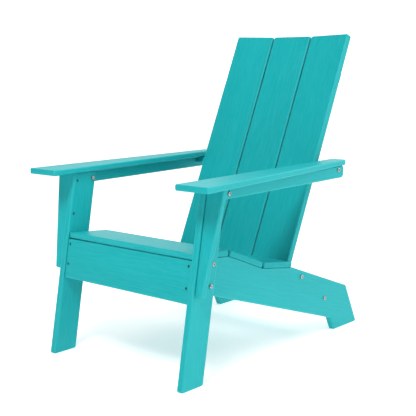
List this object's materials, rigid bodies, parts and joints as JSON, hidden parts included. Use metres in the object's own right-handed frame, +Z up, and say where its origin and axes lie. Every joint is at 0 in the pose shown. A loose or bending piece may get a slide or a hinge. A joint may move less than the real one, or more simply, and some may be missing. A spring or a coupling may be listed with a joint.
{
  "type": "adirondack chair",
  "caption": "Low garden armchair in solid plastic lumber: raked back of wide slats, sloping seat, flat armrests on bracketed legs, side boards that run back to form the rear feet.",
  "frame": {"origin": "middle of the chair's footprint, on the ground", "axes": "+Z up, the sitter faces -Y, +X towards the sitter's left hand; the chair is the same on both sides of the YZ plane"},
  "size_m": [0.747, 0.9046, 0.9781],
  "materials": {
    "lumber": "turquoise through-coloured plastic lumber with a fine brushed grain, satin on the flats and smoother on the rounded edges",
    "bolt_steel": "stainless steel, lightly turned, satin",
    "dowel_steel": "zinc-plated steel, dull",
    "screw_coating": "dark weather-resistant coating, satin"
  },
  "bodies": {
    "root": {"left_stringer": "lumber", "left_front_leg": "lumber", "left_arm_bracket": "lumber", "left_arm_rail": "lumber", "left_armrest": "lumber", "right_stringer": "lumber", "right_front_leg": "lumber", "right_arm_bracket": "lumber", "right_arm_rail": "lumber", "right_armrest": "lumber", "front_apron": "lumber", "seat_slat_front": "lumber", "seat_slat_middle": "lumber", "seat_slat_rear": "lumber", "back_slat_centre": "lumber", "back_slat_left": "lumber", "back_slat_right": "lumber", "upper_back_brace": "lumber", "arm_back_brace": "lumber", "lower_back_brace": "lumber", "rear_stretcher": "lumber", "left_leg_upper_bolt": "bolt_steel", "left_leg_upper_nut": "bolt_steel", "left_leg_lower_bolt": "bolt_steel", "left_leg_lower_nut": "bolt_steel", "left_rail_front_bolt": "bolt_steel", "left_rail_front_nut": "bolt_steel", "left_rail_rear_bolt": "bolt_steel", "left_rail_rear_dowel": "dowel_steel", "left_lower_brace_bolt": "bolt_steel", "left_lower_brace_dowel": "dowel_steel", "left_stretcher_bolt": "bolt_steel", "left_stretcher_dowel": "dowel_steel", "left_apron_screw_upper": "screw_coating", "left_apron_screw_lower": "screw_coating", "left_bracket_screw_upper": "screw_coating", "left_bracket_screw_lower": "screw_coating", "right_leg_upper_bolt": "bolt_steel", "right_leg_upper_nut": "bolt_steel", "right_leg_lower_bolt": "bolt_steel", "right_leg_lower_nut": "bolt_steel", "right_rail_front_bolt": "bolt_steel", "right_rail_front_nut": "bolt_steel", "right_rail_rear_bolt": "bolt_steel", "right_rail_rear_dowel": "dowel_steel", "right_lower_brace_bolt": "bolt_steel", "right_lower_brace_dowel": "dowel_steel", "right_stretcher_bolt": "bolt_steel", "right_stretcher_dowel": "dowel_steel", "right_apron_screw_upper": "screw_coating", "right_apron_screw_lower": "screw_coating", "right_bracket_screw_upper": "screw_coating", "right_bracket_screw_lower": "screw_coating", "upper_brace_screw_centre_right": "screw_coating", "upper_brace_screw_centre_left": "screw_coating", "upper_brace_screw_left_inner": "screw_coating", "upper_brace_screw_left_outer": "screw_coating", "upper_brace_screw_right_inner": "screw_coating", "upper_brace_screw_right_outer": "screw_coating"}
  },
  "joints": []
}
